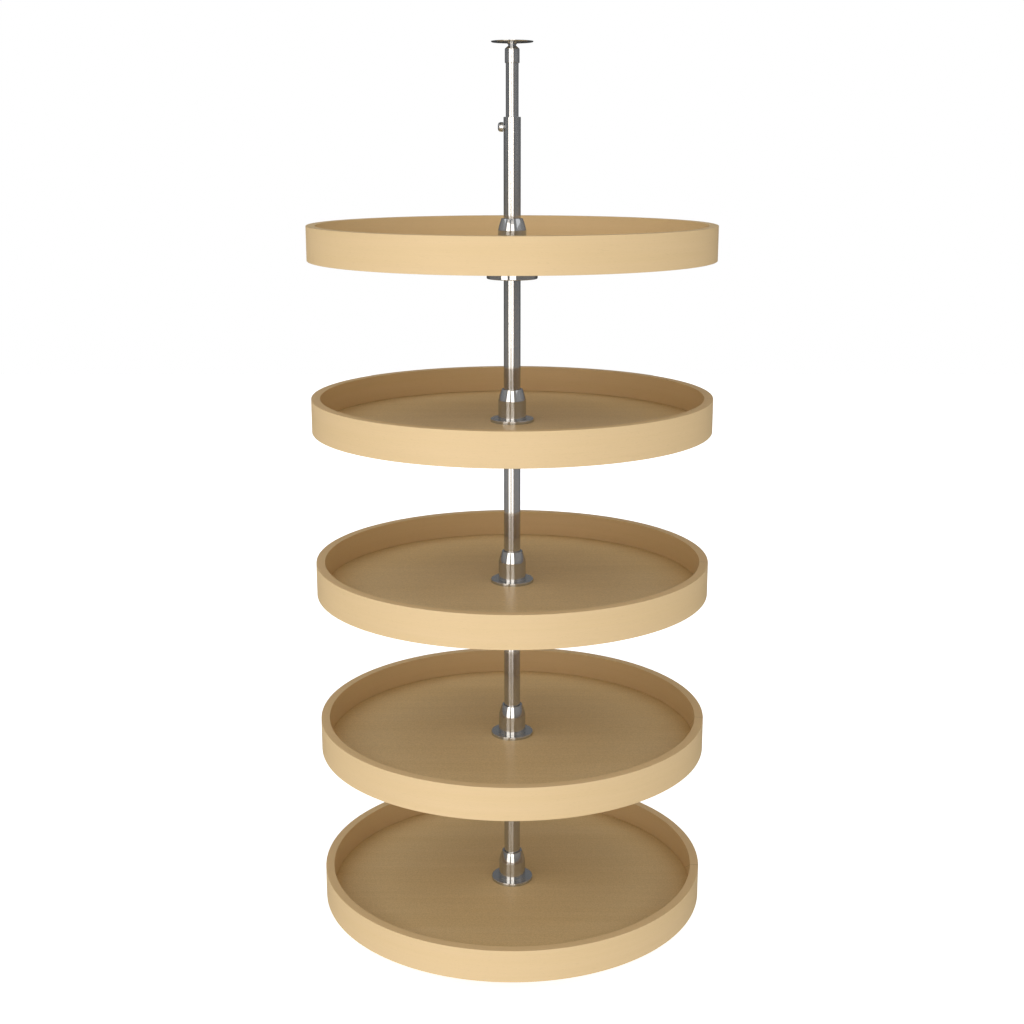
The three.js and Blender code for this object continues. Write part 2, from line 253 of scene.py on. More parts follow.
# %% Soft fill for the wood
fill_scale = 1.85  # a ramp holds values up to one
gain_to_the_left = 0.2
fill = front_to_back(
    by_height([
        (0.05, 0), (0.08, 0.67), (0.5, 0.67), (0.6, 0.6), (0.62, 0.04),
        (0.7, 0.04), (0.72, 1), (0.815, 1), (0.835, 0.24), (1, 0.24),
    ]),
    by_height([
        (0.05, 0), (0.08, 0.08), (0.49, 0.08), (0.51, 0), (0.7, 0),
        (0.72, 0.06), (0.85, 0.06), (0.87, 0.56), (1, 0.56),
    ]),
    -0.3, 0.4,
)
left_is_brighter = add_node(room, "ShaderNodeMath", {"operation": "MULTIPLY_ADD"}, {
    0: facing["X"],
    1: -gain_to_the_left,
    2: 1,
})
fill_strength = add_node(
    room, "ShaderNodeMath", {"operation": "MULTIPLY"}, {0: left_is_brighter.outputs[0], 1: fill_scale}
)
print(f"fill: {fill_scale} times its ramps")

# %% [markdown]
# Last, the faces are put together. One Mix Shader picks the greys for gloss and the fill for everything
# else, and a second one lays the white paper over both for rays that come straight from the camera.

# %% Which ray sees what
ray = add_node(room, "ShaderNodeLightPath").outputs
seen_in_gloss = add_node(room, "ShaderNodeBackground", inputs={"Color": wall_greys, "Strength": 1})
soft_fill = add_node(
    room, "ShaderNodeBackground", inputs={"Color": fill, "Strength": fill_strength.outputs[0]}
)
white_paper = add_node(room, "ShaderNodeBackground", inputs={"Color": paint("#ffffff"), "Strength": 1})
lit = add_node(room, "ShaderNodeMixShader", inputs={
    0: ray["Is Glossy Ray"],
    1: soft_fill.outputs[0],
    2: seen_in_gloss.outputs[0],
})
shown = add_node(room, "ShaderNodeMixShader", inputs={
    0: ray["Is Camera Ray"],
    1: lit.outputs[0],
    2: white_paper.outputs[0],
})
add_node(room, "ShaderNodeOutputWorld", inputs={"Surface": shown.outputs[0]})
print(f"room: {len(room.nodes)} nodes")

# %% [markdown]
# The floor is pale paper that runs into the white behind it. It works as a light table: it glows towards the
# camera, and it neither shades nor tints anything. Light comes up through it to the trays, as the room's
# fill has its own part below the horizon. Gloss doesn't see it, as the photographed chrome shows no floor.

# %% Studio floor
floor_half_width = 6

floor_shape = bmesh.new()
bmesh.ops.create_grid(floor_shape, x_segments=1, y_segments=1, size=floor_half_width)
floor_mesh = bpy.data.meshes.new("studio_floor")
floor_shape.to_mesh(floor_mesh)
floor_shape.free()
floor = bpy.data.objects.new("studio_floor", floor_mesh)
bpy.context.scene.collection.objects.link(floor)
floor.visible_glossy = False
floor.visible_diffuse = False
floor.visible_shadow = False

paper, tree, place = new_material("pale paper floor")
fibre_clump_mm = 4
fibres = add_node(tree, "ShaderNodeTexNoise", inputs={
    "Vector": place,
    "Scale": per_metre(fibre_clump_mm)[0],
    "Detail": 2,
})
tone = add_node(
    tree, "ShaderNodeMapRange", inputs={"Value": fibres.outputs["Fac"], "To Min": 0.86, "To Max": 0.9}
)
matt = add_node(tree, "ShaderNodeBsdfDiffuse", inputs={"Color": tone.outputs[0]})
glow = add_node(tree, "ShaderNodeEmission", inputs={"Color": paint("#ffffff"), "Strength": 0.78})
surface = add_node(tree, "ShaderNodeAddShader", inputs={0: matt.outputs[0], 1: glow.outputs[0]})
floor_mesh.materials.append(finish_material(paper, tree, surface))

# %% [markdown]
# ## Chrome
#
# The pole, the hub caps, the collars and the ceiling plate are polished steel with bright nickel and chromium
# on it. Plated chrome reflects a little over half of the light, evenly, and is almost a mirror. Only a breath
# of haze from handling changes its roughness, and the plating keeps a faint waviness of the ground steel.
# The steel turned while it was polished, so its polishing lines run round the pole. They are too fine to
# draw, but they smear every highlight up and down, which carries the bright stripes on over the brown
# reflections of the trays. An anisotropic shader with its tangent round the pole does that, and the chrome
# is half that shader and half the near mirror.

# %% Chrome material
chrome, tree, place = new_material("bright chrome plate")
chrome_colour = paint("#c4c6c8")
haze_size_mm = 18
wave_size_mm = 9
smeared_share = 0.5
haze = add_node(
    tree, "ShaderNodeTexNoise", inputs={"Vector": place, "Scale": per_metre(haze_size_mm)[0], "Detail": 3}
)
roughness = add_node(
    tree, "ShaderNodeMapRange", inputs={"Value": haze.outputs["Fac"], "To Min": 0.035, "To Max": 0.075}
)
waves = add_node(
    tree, "ShaderNodeTexNoise", inputs={"Vector": place, "Scale": per_metre(wave_size_mm)[0], "Detail": 1}
)
relief = add_node(
    tree, "ShaderNodeBump", inputs={"Height": waves.outputs["Fac"], "Strength": 0.05, "Distance": 0.02 * MM}
)
mirror = add_node(tree, "ShaderNodeBsdfPrincipled", inputs={
    "Base Color": chrome_colour,
    "Metallic": 1,
    "Roughness": roughness.outputs[0],
    "Normal": relief.outputs[0],
})
round_the_pole = add_node(tree, "ShaderNodeTangent", {"direction_type": "RADIAL", "axis": "Z"})
polish_lines = add_node(tree, "ShaderNodeBsdfAnisotropic", inputs={
    "Color": chrome_colour,
    "Roughness": 0.15,
    "Anisotropy": 0.9,
    "Tangent": round_the_pole.outputs[0],
})
surface = add_node(tree, "ShaderNodeMixShader", inputs={
    0: smeared_share,
    1: mirror.outputs[0],
    2: polish_lines.outputs[0],
})
finish_material(chrome, tree, surface)

# %% [markdown]
# ## Maple
#
# The hoops are one steamed maple strip each, bent round a drum until its tapered ends overlap in a scarf
# joint, then sanded and sprayed with clear satin lacquer. Maple is close-grained and nearly plain: broad
# bands of tone, fine growth lines that run along the strip, and short darker flecks. The pattern has to run
# round the hoop as the fibres do, so the nodes unroll it: the bearing round the pole times the radius is the
# place along the strip. The unrolled strip has to end somewhere, and it ends at the scarf joint, which is
# turned to the right side, out of the front view.

# %% Unrolled strip coordinates
hoop_radius_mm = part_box("tray_1_band")[1].x / MM
hoop_height_mm = (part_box("tray_1_band")[1].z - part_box("tray_1_band")[0].z) / MM
tray_bases_mm = {n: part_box(f"tray_{n}_band")[0].z / MM for n in range(1, 6)}
tray_spacing_mm = tray_bases_mm[1] - tray_bases_mm[2]
scarf_length_mm = 90  # how far the joint's slant runs along the strip
joint_bearing = math.radians(100)  # 0 is the front, 90 the right
glue_half_width_mm = 0.5
glue_core_mm = 0.1


def unrolled_strip(tree, place):
    """Coordinates along, through and across the bent strip, and how near the glue a point is, 0 to 1."""
    axes = add_node(tree, "ShaderNodeSeparateXYZ", inputs={0: place}).outputs
    frontwards = add_node(tree, "ShaderNodeMath", {"operation": "MULTIPLY"}, {0: axes["Y"], 1: -1})
    bearing = add_node(
        tree, "ShaderNodeMath", {"operation": "ARCTAN2"}, {0: axes["X"], 1: frontwards.outputs[0]}
    )
    above_lowest = add_node(
        tree, "ShaderNodeMath", {"operation": "SUBTRACT"}, {0: axes["Z"], 1: tray_bases_mm[5] * MM}
    )
    up_the_hoop = add_node(tree, "ShaderNodeMath", {"operation": "FLOORED_MODULO"}, {
        0: above_lowest.outputs[0],
        1: tray_spacing_mm * MM,
    })
    slant = scarf_length_mm / hoop_height_mm / (hoop_radius_mm * MM)
    past_joint = add_node(tree, "ShaderNodeMath", {"operation": "ADD"}, {
        0: bearing.outputs[0],
        1: math.pi - joint_bearing,
    })
    slanted = add_node(tree, "ShaderNodeMath", {"operation": "MULTIPLY_ADD"}, {
        0: up_the_hoop.outputs[0],
        1: slant,
        2: past_joint.outputs[0],
    })
    wrapped = add_node(
        tree, "ShaderNodeMath", {"operation": "WRAP"}, {0: slanted.outputs[0], 1: math.pi, 2: -math.pi}
    )
    along = add_node(
        tree, "ShaderNodeMath", {"operation": "MULTIPLY"}, {0: wrapped.outputs[0], 1: hoop_radius_mm * MM}
    )
    outwards = add_node(tree, "ShaderNodeVectorMath", {"operation": "MULTIPLY"}, {0: place, 1: (1, 1, 0)})
    through = add_node(tree, "ShaderNodeVectorMath", {"operation": "LENGTH"}, {0: outwards.outputs[0]})
    strip = add_node(
        tree, "ShaderNodeCombineXYZ", inputs={0: along.outputs[0], 1: through.outputs["Value"], 2: axes["Z"]}
    )
    from_middle = add_node(tree, "ShaderNodeMath", {"operation": "ABSOLUTE"}, {0: along.outputs[0]})
    half_round = math.pi * hoop_radius_mm * MM
    glue_line = add_node(tree, "ShaderNodeMapRange", inputs={
        "Value": from_middle.outputs[0],
        "From Min": half_round - glue_half_width_mm * MM,
        "From Max": half_round - glue_core_mm * MM,
    })
    return strip.outputs[0], glue_line.outputs[0]


print(f"hoop: {2 * hoop_radius_mm:.1f} mm across, {hoop_height_mm:.1f} mm high")
print(f"trays: {tray_spacing_mm:.1f} mm apart")

# %% [markdown]
# The tone bands are about 11 mm across the grain and a third of a metre along it, the growth lines 1.6 mm
# and 120 mm, and the flecks 0.8 mm and 6 mm. All three stay faint: from two metres away the real hoop reads
# as one even colour. Hoops and panels are both a base colour of two close tones, darkened by two finer
# patterns, so four small functions serve them both.

# %% Wood grain helpers
def grain_noise(tree, coordinates, sizes_mm, detail):
    """Noise whose features have these sizes along, through and across the grain."""
    scaled = add_node(
        tree, "ShaderNodeVectorMath", {"operation": "MULTIPLY"}, {0: coordinates, 1: per_metre(*sizes_mm)}
    )
    return add_node(
        tree, "ShaderNodeTexNoise", inputs={"Vector": scaled.outputs[0], "Scale": 1, "Detail": detail}
    ).outputs["Fac"]


def two_tones(tree, pattern, dark, light):
    """A colour between two hex values: the dark one below a pattern value of 0.3, the light one above 0.7."""
    tones = add_node(tree, "ShaderNodeValToRGB", inputs={"Fac": pattern})
    for element, position, hex_code in zip(tones.color_ramp.elements, (0.3, 0.7), (dark, light)):
        element.position = position
        element.color = paint(hex_code)
    return tones.outputs[0]


def shade_between(tree, pattern, start, end, shade_at_start, shade_at_end):
    """How much light a pattern leaves, between two of its values."""
    return add_node(tree, "ShaderNodeMapRange", inputs={
        "Value": pattern,
        "From Min": start,
        "From Max": end,
        "To Min": shade_at_start,
        "To Max": shade_at_end,
    }).outputs[0]


def shaded(tree, colour, first_shade, second_shade):
    """A colour darkened by two shades."""
    both = add_node(tree, "ShaderNodeMath", {"operation": "MULTIPLY"}, {0: first_shade, 1: second_shade})
    darkened = add_node(
        tree, "ShaderNodeVectorMath", {"operation": "SCALE"}, {0: colour, "Scale": both.outputs[0]}
    )
    return darkened.outputs[0]


print(f"noise scale for 11 mm tone bands: {per_metre(11)[0]:.0f} per metre")

# %% Maple hoop material
maple, tree, place = new_material("steamed maple strip, clear satin lacquer")
strip, glue_line = unrolled_strip(tree, place)
bands = grain_noise(tree, strip, (340, 30, 11), 2)
lines = grain_noise(tree, strip, (120, 4, 1.6), 2)
flecks = grain_noise(tree, strip, (6, 2, 0.8), 0)
grained = shaded(
    tree,
    two_tones(tree, bands, "#e4c695", "#e6c899"),
    shade_between(tree, lines, 0.35, 0.65, 0.985, 1),
    shade_between(tree, flecks, 0.68, 0.78, 1, 0.96),
)
glued = add_node(
    tree, "ShaderNodeMix", {"data_type": "RGBA"}, {0: glue_line, 6: grained, 7: paint("#8a6a3e")}
)
relief = add_node(tree, "ShaderNodeBump", inputs={"Height": lines, "Strength": 0.15, "Distance": 0.05 * MM})
surface = add_node(tree, "ShaderNodeBsdfPrincipled", inputs={
    "Base Color": glued.outputs[2],
    "Roughness": 0.5,
    "IOR": 1.5,
    "Specular IOR Level": 0.2,
    "Normal": relief.outputs[0],
})
finish_material(maple, tree, surface)

# %% [markdown]
# The tray bottoms are plywood with a maple face veneer, sprayed flat before they go into the hoops. Lacquer
# on a flat panel levels out better than on a hoop, so it is glossier: seen at a low angle it mirrors the hub
# softly. Its orange peel and the pores show as a fine speckle. Pores are 0.2 mm wide, which is too fine to
# show from two metres away, so the speckle is drawn at 2.2 mm.

# %% Maple panel material
veneer, tree, place = new_material("maple veneered plywood, satin lacquer")
sheet_depth_mm = 50  # a sliced veneer is one face of the log, so nothing changes through it
figure = grain_noise(tree, place, (420, 26, sheet_depth_mm), 2)
lines = grain_noise(tree, place, (150, 2.4, sheet_depth_mm), 2)
speckle = grain_noise(tree, place, (2.2, 2.2, sheet_depth_mm), 1)
grained = shaded(
    tree,
    two_tones(tree, figure, "#ddc291", "#e1c798"),
    shade_between(tree, lines, 0.35, 0.65, 0.96, 1),
    shade_between(tree, speckle, 0.3, 0.7, 0.9, 1.05),
)
relief = add_node(tree, "ShaderNodeBump", inputs={"Height": speckle, "Strength": 0.25, "Distance": 0.05 * MM})
surface = add_node(tree, "ShaderNodeBsdfPrincipled", inputs={
    "Base Color": grained,
    "Roughness": 0.32,
    "IOR": 1.5,
    "Specular IOR Level": 0.12,
    "Normal": relief.outputs[0],
})
finish_material(veneer, tree, surface)

# %% [markdown]
# ## Small metals and plastic
#
# What turns or slides out of sight has plainer finishes: moulded nylon bushes, zinc plated steel plates,
# hardened steel balls and screws in black oxide. Each one is one shader with a fine noise in its roughness,
# and the numbers tell them apart, so they share a function.

# %% Small finishes
def plain_finish(name, hex_code, metallic, roughness_range, pattern_mm, relief_mm):
    """A finish of one colour whose roughness and relief vary over a fine pattern."""
    material, tree, place = new_material(name)
    noise = add_node(
        tree, "ShaderNodeTexNoise", inputs={"Vector": place, "Scale": per_metre(pattern_mm)[0], "Detail": 3}
    ).outputs["Fac"]
    low, high = roughness_range
    roughness = add_node(tree, "ShaderNodeMapRange", inputs={"Value": noise, "To Min": low, "To Max": high})
    relief = add_node(
        tree, "ShaderNodeBump", inputs={"Height": noise, "Strength": 0.3, "Distance": relief_mm * MM}
    )
    surface = add_node(tree, "ShaderNodeBsdfPrincipled", inputs={
        "Base Color": paint(hex_code),
        "Metallic": metallic,
        "Roughness": roughness.outputs[0],
        "Normal": relief.outputs[0],
    })
    return finish_material(material, tree, surface)


nylon = plain_finish("moulded natural nylon", "#e6e1d3", 0, (0.42, 0.6), 1.2, 0.03)
zinc = plain_finish("zinc plated steel", "#aeb2b8", 1, (0.25, 0.5), 6, 0.01)
ball_steel = plain_finish("hardened ball steel", "#a2a5a9", 1, (0.1, 0.2), 4, 0.002)
black_oxide = plain_finish("steel in black oxide", "#2c2d30", 1, (0.35, 0.55), 2, 0.01)

# %% [markdown]
# ## How the round pieces are made
#
# Nearly every piece here was turned, spun or drawn, so it is modelled the same way: half of its section is
# drawn as a closed loop of edges beside the pole's axis, the corners are rounded with a vertex bevel, and a
# spin sweeps the loop once round. Lathes leave no perfectly sharp edge, and on chrome that matters: the thin
# rounding is what catches the bright lines. A Weighted Normal modifier then keeps the flat faces optically
# flat, with the smooth shading only on the roundings.

# %% Draw, round and turn a section
smooth_up_to = math.radians(40)  # edges that turn more than this stay sharp
fewest_rounding_steps = 3
most_rounding_steps = 16


def draw_section(corners):
    """A loop of edges in the XZ plane through corners given as (radius, height, rounding) in millimetres."""
    section = bmesh.new()
    points = [section.verts.new((radius * MM, 0, height * MM)) for radius, height, _ in corners]
    for start, end in zip(points, points[1:] + points[:1]):
        if start.co.x > 0 or end.co.x > 0:  # the axis itself isn't part of the surface
            section.edges.new((start, end))
    for point, (_, _, rounding) in zip(points, corners):
        if rounding:
            steps = max(fewest_rounding_steps, min(most_rounding_steps, round(2 * rounding)))
            bmesh.ops.bevel(
                section, geom=[point], offset=rounding * MM, offset_type="OFFSET",
                segments=steps, profile=0.5, affect="VERTICES", material=-1,
            )
    return section


def turn(corners, steps=128):
    """A closed round shape, swept once about the Z axis from its half section."""
    shape = draw_section(corners)
    bmesh.ops.spin(
        shape, geom=shape.verts[:] + shape.edges[:], cent=(0, 0, 0), axis=(0, 0, 1),
        angle=2 * math.pi, steps=steps, use_merge=True,
    )
    bmesh.ops.remove_doubles(shape, verts=shape.verts[:], dist=1e-7)
    bmesh.ops.recalc_face_normals(shape, faces=shape.faces[:])
    return shape


def rod(radius, base, top, steps=48):
    """A plain round rod along Z, used for drilling."""
    shape = bmesh.new()
    bmesh.ops.create_cone(
        shape, cap_ends=True, segments=steps, radius1=radius * MM, radius2=radius * MM,
        depth=(top - base) * MM,
    )
    bmesh.ops.translate(shape, verts=shape.verts[:], vec=(0, 0, (base + top) / 2 * MM))
    return shape


test_ring = turn([(20, 0, 0), (30, 0, 0), (30, 10, 1), (20, 10, 0)])
print(f"a test ring: {len(test_ring.faces)} faces, {test_ring.calc_volume() / MM ** 3:.0f} mm3")
test_ring.free()

# %% [markdown]
# Screw holes are drilled as on the bench: a closed cutter is taken away from the closed piece. Bevel and
# spin can't do that, so this one step uses a Boolean modifier with the exact solver.

# %% Drill
def drill(shape, cutters):
    """Takes closed cutter shapes away from a closed shape."""
    made = []
    for part in [shape, *cutters]:
        mesh = bpy.data.meshes.new("drilling")
        part.to_mesh(mesh)
        part.free()
        made.append(bpy.data.objects.new("drilling", mesh))
        bpy.context.scene.collection.objects.link(made[-1])
    for cutter in made[1:]:
        cut = made[0].modifiers.new("cut", "BOOLEAN")
        cut.operation = "DIFFERENCE"
        cut.solver = "EXACT"
        cut.object = cutter
    drilled = bmesh.new()
    drilled.from_object(made[0], bpy.context.evaluated_depsgraph_get())
    for leftover in made:
        mesh = leftover.data
        bpy.data.objects.remove(leftover)
        bpy.data.meshes.remove(mesh)
    return drilled


# %% [markdown]
# A finished shape becomes a piece: it gets its shading and material, it rides on the body of the node that it
# stands for, and that node is hidden. Tray pieces are modelled once, with the tray's underside at height
# zero, and then moved up into each of the five trays, in the mesh and not by the object.

# %% Dress a node
def dress(node, shape, material, lift_mm=0, keep=False):
    """Makes the piece that stands for a node, lifted by a height in millimetres."""
    mesh = bpy.data.meshes.new(f"{node}_smooth")
    shape.to_mesh(mesh)
    if not keep:
        shape.free()
    mesh.transform(Matrix.Translation((0, 0, lift_mm * MM)))
    mesh.shade_smooth()
    mesh.set_sharp_from_angle(angle=smooth_up_to)
    mesh.materials.append(material)
    piece = bpy.data.objects.new(f"{node}_smooth", mesh)
    bpy.context.scene.collection.objects.link(piece)
    flats = piece.modifiers.new("flat faces stay flat", "WEIGHTED_NORMAL")
    flats.keep_sharp = True
    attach(piece, body_of[node])
    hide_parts(node)
    return piece


def dress_trays(part, shape, material):
    """Makes one piece in each tray from a shape whose heights start at the tray's underside."""
    for number, base in tray_bases_mm.items():
        piece = dress(f"tray_{number}_{part}", shape, material, lift_mm=base, keep=True)
    print(f"{part}: 5 pieces of {len(piece.data.polygons)} faces")
    shape.free()


def reach(node, above=0):
    """Radius, base and top of a node that is round about the pole, in millimetres above a height."""
    low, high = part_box(node)
    return high.x / MM, low.z / MM - above, high.z / MM - above


print(f"tray heights: {[round(base, 1) for base in tray_bases_mm.values()]} mm")

# %% [markdown]
# ## Hoop and panel
#
# The hoop's section is a 13.6 mm wall with a rebate at its foot, which the panel drops into from below. Its
# upper edges are broken by 0.6 mm, so that they feel soft to the hand. The panel is a flat disc that stops
# 0.3 mm short of the rebate's wall, and the thin dark line there is that gap.

# %% Hoops
tray_floor = tray_bases_mm[1]
panel_radius, _, panel_top = reach("tray_1_panel", tray_floor)
hoop_wall = 13.6
seat_gap = 0.3
upper_edge_break = 0.6
lower_edge_break = 0.5
tray_steps = 256

hoop_inner_radius = hoop_radius_mm - hoop_wall
rebate_radius = panel_radius + seat_gap
rebate_top = panel_top + seat_gap
dress_trays("band", turn([
    (rebate_radius, 0, 0.3),
    (hoop_radius_mm, 0, lower_edge_break),
    (hoop_radius_mm, hoop_height_mm, upper_edge_break),
    (hoop_inner_radius, hoop_height_mm, upper_edge_break),
    (hoop_inner_radius, rebate_top, 0),
    (rebate_radius, rebate_top, 0),
], tray_steps), maple)

# %% Panels
bush_radius, bush_base, bush_top = reach("tray_1_hub_bush", tray_floor)
hub_bore = bush_radius + seat_gap
dress_trays("panel", turn([
    (hub_bore, 0, 0.2),
    (panel_radius, 0, 0.4),
    (panel_radius, panel_top, 0),
    (hub_bore, panel_top, 0),
], tray_steps), veneer)

# %% [markdown]
# ## Hub cap
#
# The hub cap is spun steel: a thick mirror-flat flange, a short cylinder and an ogive nose that closes round
# the pole. The nose leaves the cylinder with a slight kink and then leans in more and more, so in the outline
# it is one long corner: the line goes up at the first lean to where the two tangents of the nose's arc meet,
# on to the mouth, and a bevel nearly as long as those tangents bends it.

# %% Hub caps
flange_radius, cap_base, cap_top = reach("tray_1_hub_cap", tray_floor)
cap_wall = 4.8
cap_radius = hub_bore + cap_wall
flange_thickness = 4.6
nose_height = 17.2
nose_lean = math.radians(11.5)  # where it leaves the cylinder
mouth_overhang = 3.0  # how far the lip comes in over the bush
mouth_flat = 1.4
mouth_round = 1.4
bend_share = 0.96  # of the tangents, so that the bevel doesn't use them up
lip_depth = 3.6

flange_top = cap_base + flange_thickness
nose_base = cap_top - nose_height
mouth_bore = bush_radius - mouth_overhang
mouth_edge = mouth_bore + mouth_flat + mouth_round
mouth_lean = 2 * math.atan((cap_radius - mouth_edge) / nose_height) - nose_lean
nose_arc_radius = nose_height / (math.sin(mouth_lean) - math.sin(nose_lean))
nose_tangent = nose_arc_radius * math.tan((mouth_lean - nose_lean) / 2)
tangents_meet = (
    cap_radius - nose_tangent * math.sin(nose_lean),
    nose_base + nose_tangent * math.cos(nose_lean),
)
dress_trays("hub_cap", turn([
    (hub_bore, cap_base, 0),
    (flange_radius, cap_base, 0.2),
    (flange_radius, flange_top, 0.9),
    (cap_radius, flange_top, 0.3),
    (cap_radius, nose_base, 0.4),
    (*tangents_meet, bend_share * nose_tangent),
    (mouth_edge, cap_top, mouth_round),
    (mouth_bore, cap_top, 0.2),
    (mouth_bore, cap_top - lip_depth, 0),
    (hub_bore, cap_top - lip_depth, 0),
]), chrome)
print(f"nose: leans in from {math.degrees(nose_lean):.1f} to {math.degrees(mouth_lean):.1f} degrees")

# %% [markdown]
# ## Turntable
#
# Under each panel a steel flange runs on a ring of balls. The balls sit in a groove on top of the lock
# collar, whose rim stands up round them as a guard. The collar is a spun cup, hollow underneath, and a set
# screw through its boss holds it at any height on the pole. A hole in the skirt lets the hexagon key in.

# %% Hub flanges and bushes
hub_flange_radius, hub_flange_base, hub_flange_top = reach("tray_1_hub_flange", tray_floor)
dress_trays("hub_flange", turn([
    (hub_bore, hub_flange_base, 0.2),
    (hub_flange_radius, hub_flange_base, 0.5),
    (hub_flange_radius, hub_flange_top, 0.5),
    (hub_bore, hub_flange_top, 0.2),
]), zinc)

pole_radius = reach("outer_tube")[0]
running_gap = 0.15
dress_trays("hub_bush", turn([
    (pole_radius + running_gap, bush_base, 0.2),
    (bush_radius, bush_base, 0.2),
    (bush_radius, bush_top, 0.4),
    (pole_radius + running_gap, bush_top, 0.4),
]), nylon)

# %% Ball cages
cage_radius, cage_low, cage_high = reach("tray_1_ball_cage", tray_floor)
ball_radius = (cage_high - cage_low) / 2
ball_centre = (cage_high + cage_low) / 2
cage_width = 8.4
cage_half_thickness = 1.2
ball_count = 6
ball_circle = cage_radius - cage_width / 2

cage = turn([
    (cage_radius - cage_width, ball_centre - cage_half_thickness, 0.3),
    (cage_radius, ball_centre - cage_half_thickness, 0.3),
    (cage_radius, ball_centre + cage_half_thickness, 0.3),
    (cage_radius - cage_width, ball_centre + cage_half_thickness, 0.3),
])
for index in range(ball_count):
    place = Matrix.Rotation(2 * math.pi * index / ball_count, 4, "Z")
    place = place @ Matrix.Translation((0, ball_circle * MM, ball_centre * MM))
    bmesh.ops.create_uvsphere(cage, u_segments=24, v_segments=12, radius=ball_radius * MM, matrix=place)
dress_trays("ball_cage", cage, ball_steel)

# %% Lock collars
collar_radius, collar_base, guard_top = reach("tray_1_lock_collar", tray_floor)
collar_boss_wall = 7.4
collar_skirt_wall = 2.4
collar_height = 19.8
collar_web = 4.4
race_depth = 1.0
race_half_width = 3.3
key_hole_radius = 3.3
set_screw_height = 6.4

collar_bore = pole_radius + running_gap
collar_boss_radius = collar_bore + collar_boss_wall
race_face = collar_base + collar_height
skirt_inside = collar_radius - collar_skirt_wall
collar = turn([
    (collar_bore, collar_base, 0.3),
    (collar_boss_radius, collar_base, 0.6),
    (collar_boss_radius, race_face - collar_web, 0.8),
    (skirt_inside, race_face - collar_web, 1.2),
    (skirt_inside, collar_base, 0.4),
    (collar_radius, collar_base, 1.3),
    (collar_radius, guard_top, 0.5),
    (skirt_inside, guard_top, 0.4),
    (skirt_inside, race_face, 0.3),
    (ball_circle + race_half_width, race_face, 0.2),
    (ball_circle, race_face - race_depth, 2.4),
    (ball_circle - race_half_width, race_face, 0.2),
    (collar_bore, race_face, 0.3),
])
key_way = rod(key_hole_radius, pole_radius, 2 * collar_radius)
bmesh.ops.rotate(key_way, verts=key_way.verts[:], matrix=Matrix.Rotation(-math.pi / 2, 3, "X"))
bmesh.ops.translate(key_way, verts=key_way.verts[:], vec=(0, 0, (collar_base + set_screw_height) * MM))
dress_trays("lock_collar", drill(collar, [key_way]), chrome)

# %% Set screws
set_screw_low, set_screw_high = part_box("tray_1_set_screw")
set_screw_tip = set_screw_low.y / MM
set_screw_end = set_screw_high.y / MM
set_screw_radius = (set_screw_high.x - set_screw_low.x) / 2 / MM
hexagon_radius = set_screw_radius / 2
past_the_end = 1  # a cutter that goes on past the face leaves a clean hole

set_screw = turn([
    (0, set_screw_tip, 0),
    (set_screw_radius, set_screw_tip, 0.8),
    (set_screw_radius, set_screw_end, 0.4),
    (0, set_screw_end, 0),
], 48)
hexagon = rod(hexagon_radius, (set_screw_tip + set_screw_end) / 2, set_screw_end + past_the_end, steps=6)
set_screw = drill(set_screw, [hexagon])
bmesh.ops.rotate(set_screw, verts=set_screw.verts[:], matrix=Matrix.Rotation(-math.pi / 2, 3, "X"))
bmesh.ops.translate(set_screw, verts=set_screw.verts[:], vec=(0, 0, (collar_base + set_screw_height) * MM))
dress_trays("set_screw", set_screw, black_oxide)

# %% [markdown]
# ## Pole
#
# The outer tube is plain drawn steel tube, one inch across. Its mouth carries a nylon guide for the thinner
# tube inside it, and below the mouth a thumb screw on the left locks that tube. The inner tube ends in a
# ferrule that tapers to a waist, where the headed pivot pin comes out.

# %% Outer tube
_, pole_foot, pole_mouth = reach("outer_tube")
pole_wall = 1.6
insert_low, insert_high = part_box("lock_insert")
lock_height = (insert_low.z + insert_high.z) / 2 / MM
insert_radius = (insert_high.z - insert_low.z) / 2 / MM

tube = turn([
    (pole_radius - pole_wall, pole_foot, 0.3),
    (pole_radius, pole_foot, 0.3),
    (pole_radius, pole_mouth, 0.5),
    (pole_radius - pole_wall, pole_mouth, 0.5),
])
cross_hole = rod(insert_radius + seat_gap, 0, 2 * pole_radius)
bmesh.ops.rotate(cross_hole, verts=cross_hole.verts[:], matrix=Matrix.Rotation(-math.pi / 2, 3, "Y"))
bmesh.ops.translate(cross_hole, verts=cross_hole.verts[:], vec=(0, 0, lock_height * MM))
dress("outer_tube", drill(tube, [cross_hole]), chrome)
print(f"outer tube: {pole_mouth - pole_foot:.1f} mm long, lock screw at {lock_height:.1f} mm")

# %% Nylon inside the pole
inner_radius, inner_foot, inner_top = reach("inner_tube")
guide_radius, guide_base, guide_top = reach("guide_bush")
glide_radius, glide_base, glide_top = reach("inner_tube_glide")
plug_radius, plug_base, plug_top = reach("foot_plug")
slide_gap = 0.15

